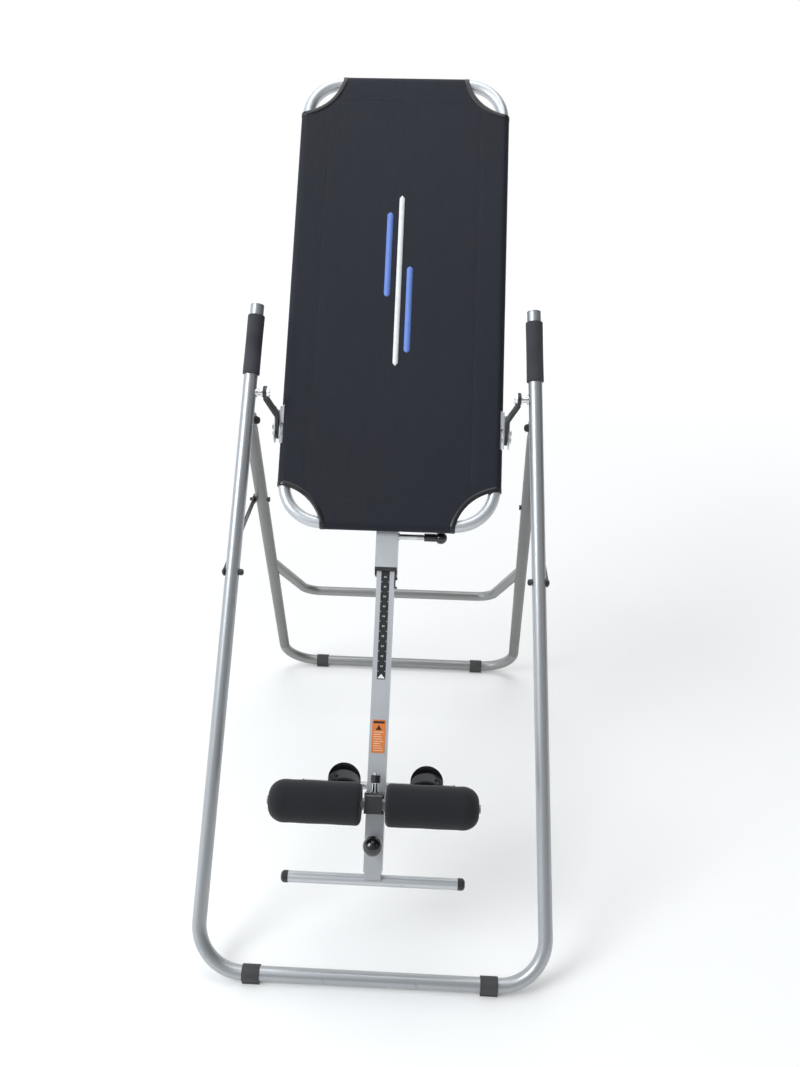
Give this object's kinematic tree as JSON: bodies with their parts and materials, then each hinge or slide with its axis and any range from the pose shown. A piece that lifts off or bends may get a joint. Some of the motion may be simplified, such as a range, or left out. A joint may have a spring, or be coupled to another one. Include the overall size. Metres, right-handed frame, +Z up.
{
  "type": "inversion table",
  "caption": "Folding inversion table: two hinged tube frames carry a tilting fabric bed on a telescoping boom with foam ankle rollers, heel cups and a footrest bar.",
  "frame": {"origin": "on the floor at the middle of the stand's footprint", "axes": "+X to the right as seen from the foot end, +Y towards the rear frame, +Z up"},
  "size_m": [0.704, 1.173, 1.6122],
  "materials": {
    "silver_frame": "silver-grey powder coat, fine satin",
    "silver_rear": "silver-grey powder coat, satin",
    "silver_bed": "silver powder coat, satin",
    "grip_foam": "matt black foam",
    "foot_rubber": "matt black rubber",
    "bright_steel": "bright plated",
    "pin_steel": "plain turned steel",
    "nut_steel": "dark plated",
    "dark_bracket": "dark grey coat",
    "slider_metal": "dark grey coat",
    "black_steel": "black coat",
    "black_plastic": "black, satin",
    "black_gloss": "black, glossy",
    "cover_fabric": "very dark navy woven nylon",
    "roller_foam": "matt black closed-cell foam",
    "label_print": "printed stickers"
  },
  "bodies": {
    "front_frame": {"front_floor_tube": "silver_frame", "upright_left": "silver_frame", "upright_right": "silver_frame", "upright_caps": "silver_frame", "handle_grips": "grip_foam", "front_feet": "foot_rubber", "pivot_pins": "bright_steel", "apex_brackets": "dark_bracket", "frame_bolts": "black_steel", "cap_nuts": "black_plastic"},
    "left_lock_arm": {"lock_arm_left": "black_steel"},
    "right_lock_arm": {"lock_arm_right": "black_steel"},
    "rear_frame": {"rear_floor_tube": "silver_rear", "rear_leg_left": "silver_rear", "rear_leg_right": "silver_rear", "rear_crossbar": "silver_rear", "rear_feet": "foot_rubber", "arm_studs": "black_steel"},
    "table": {"bed_side_left": "silver_bed", "bed_side_right": "silver_bed", "bed_head_tube": "silver_bed", "bed_foot_tube": "silver_bed", "bed_brace": "silver_bed", "boom_sleeve": "silver_bed", "sleeve_bushing": "black_plastic", "stop_clip": "black_plastic", "cover": "cover_fabric", "hinge_brackets": "silver_bed", "hinge_arm_left": "black_steel", "hinge_arm_right": "black_steel", "pivot_bushes": "black_plastic", "hinge_bolts": "bright_steel", "boom_pin_barrel": "bright_steel"},
    "height_pin": {"boom_pin": "pin_steel", "boom_pin_knob": "black_gloss", "boom_pin_spring": "pin_steel"},
    "boom_assembly": {"boom": "silver_bed", "boom_labels": "label_print", "ankle_sleeve": "dark_bracket", "ankle_pin_barrel": "bright_steel", "heel_bar": "silver_bed", "heel_bar_caps": "black_plastic", "footrest_pin_barrel": "bright_steel"},
    "clamp_pin": {"ankle_pin": "bright_steel", "ankle_pin_knob": "black_plastic", "ankle_pin_spring": "pin_steel"},
    "left_heel_cup": {"heel_cup_left": "black_gloss"},
    "right_heel_cup": {"heel_cup_right": "black_gloss"},
    "roller_slider": {"ankle_slider": "slider_metal", "slider_cap": "black_plastic", "roller_axle": "pin_steel", "axle_nuts": "nut_steel"},
    "left_roller": {"roller_left": "roller_foam"},
    "right_roller": {"roller_right": "roller_foam"},
    "footrest_bar": {"footrest": "silver_bed", "footrest_caps": "black_plastic"},
    "rest_pin": {"footrest_pin": "pin_steel", "footrest_pin_knob": "black_gloss", "footrest_pin_spring": "pin_steel"}
  },
  "joints": [
    {"name": "stand_fold", "type": "hinge", "parent": "front_frame", "child": "rear_frame", "pos_m": [0, -0.009, 0.96], "axis": [1, 0, 0], "range_deg": [-55, 0]},
    {"name": "left_arm_lift", "type": "hinge", "parent": "front_frame", "child": "left_lock_arm", "pos_m": [0, -0.19046, 0.698], "axis": [1, 0, 0], "range_deg": [0, 54]},
    {"name": "right_arm_lift", "type": "hinge", "parent": "front_frame", "child": "right_lock_arm", "pos_m": [0, -0.19046, 0.698], "axis": [1, 0, 0], "range_deg": [0, 54]},
    {"name": "table_tilt", "type": "hinge", "parent": "front_frame", "child": "table", "pos_m": [0, -0.011, 1.02], "axis": [1, 0, 0], "range_deg": [-150, 12]},
    {"name": "boom_slide", "type": "slide", "parent": "table", "child": "boom_assembly", "axis": [0, 0.5807, 0.8141], "range_m": [0, 0.2]},
    {"name": "height_pin_pull", "type": "slide", "parent": "table", "child": "height_pin", "axis": [1, 0, 0], "range_m": [-0.006, 0.006], "stiffness_N_per_m": 300, "deforming": ["boom_pin_spring"]},
    {"name": "clamp_pin_pull", "type": "slide", "parent": "boom_assembly", "child": "clamp_pin", "axis": [0, 0.5807, 0.8141], "range_m": [-0.004, 0.002], "stiffness_N_per_m": 500, "deforming": ["ankle_pin_spring"]},
    {"name": "left_cup_swing", "type": "hinge", "parent": "boom_assembly", "child": "left_heel_cup", "pos_m": [0, -0.34183, 0.29788], "axis": [1, 0, 0], "range_deg": [-20, 20]},
    {"name": "right_cup_swing", "type": "hinge", "parent": "boom_assembly", "child": "right_heel_cup", "pos_m": [0, -0.34183, 0.29788], "axis": [1, 0, 0], "range_deg": [-20, 20]},
    {"name": "roller_slide", "type": "slide", "parent": "boom_assembly", "child": "roller_slider", "axis": [0, -0.8141, 0.5807], "range_m": [0, 0.04]},
    {"name": "left_roller_spin", "type": "hinge", "parent": "roller_slider", "child": "left_roller", "pos_m": [0, -0.4773, 0.36627], "axis": [1, 0, 0], "continuous": true},
    {"name": "right_roller_spin", "type": "hinge", "parent": "roller_slider", "child": "right_roller", "pos_m": [0, -0.4773, 0.36627], "axis": [1, 0, 0], "continuous": true},
    {"name": "footrest_slide", "type": "slide", "parent": "boom_assembly", "child": "footrest_bar", "axis": [0, -0.5807, -0.8141], "range_m": [0, 0.04]},
    {"name": "rest_pin_pull", "type": "slide", "parent": "boom_assembly", "child": "rest_pin", "axis": [0, -0.8141, 0.5807], "range_m": [-0.004, 0.002], "stiffness_N_per_m": 500, "deforming": ["footrest_pin_spring"]}
  ],
  "couplings": [
    {"joint": "left_arm_lift", "follows": "stand_fold", "ratio": -0.95},
    {"joint": "right_arm_lift", "follows": "stand_fold", "ratio": -0.95}
  ]
}
